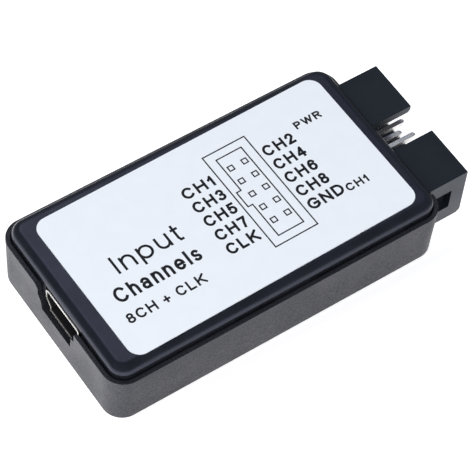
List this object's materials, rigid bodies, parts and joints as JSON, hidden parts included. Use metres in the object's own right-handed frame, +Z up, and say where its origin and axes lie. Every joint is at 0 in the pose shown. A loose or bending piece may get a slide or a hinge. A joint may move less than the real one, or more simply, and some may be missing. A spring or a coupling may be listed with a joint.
{
  "type": "logic analyzer",
  "caption": "Pocket logic analyzer: low rounded black case in two halves, white pinout label, mini USB socket at one end and a keyed box header for probes at the other.",
  "frame": {"origin": "centre of the case's footprint on the plane it rests on", "axes": "+X along the case towards the probe header, -X towards the USB socket, +Z up out of the printed cover"},
  "size_m": [0.0563, 0.0278, 0.0107],
  "materials": {
    "case_plastic": "fine spark texture",
    "cover_plastic": "satin",
    "label": "satin laminated print",
    "header_plastic": "matte",
    "board": "solder mask",
    "tin": "tin plated",
    "solder": "reflowed solder",
    "nickel": "nickel plated sheet",
    "gold": "flash gold",
    "connector_black": "matte",
    "chip_epoxy": "matte epoxy",
    "crystal_steel": "drawn steel",
    "resistor": "glazed film",
    "capacitor": "bare ceramic",
    "tantalum": "moulded epoxy",
    "fuse": "coated polymer",
    "lamp_lens": "clear epoxy",
    "lamp_carrier": "white laminate"
  },
  "bodies": {
    "base": {"bottom_shell": "case_plastic", "circuit_board": "board", "header_shroud": "header_plastic", "header_pins": "tin", "header_solder": "solder", "usb_shell": "nickel", "usb_insulator": "connector_black", "usb_contacts": "gold", "controller_chip": "chip_epoxy", "controller_leads": "tin", "buffer_chip": "chip_epoxy", "buffer_leads": "tin", "memory_chip": "chip_epoxy", "memory_leads": "tin", "regulator": "chip_epoxy", "regulator_leads": "tin", "crystal_can": "crystal_steel", "crystal_base": "connector_black", "crystal_leads": "tin", "chip_resistors": "resistor", "ceramic_capacitors": "capacitor", "usb_fuse": "fuse", "chip_end_caps": "solder", "tantalum_capacitors": "tantalum", "tantalum_terminals": "tin", "power_led": "lamp_lens", "channel_led": "lamp_lens", "led_carriers": "lamp_carrier"},
    "cover": {"top_cover": "cover_plastic", "front_label": "label"}
  },
  "joints": [
    {"name": "cover_lift", "type": "slide", "parent": "base", "child": "cover", "axis": [0, 0, 1], "range_m": [0, 0.02]}
  ]
}
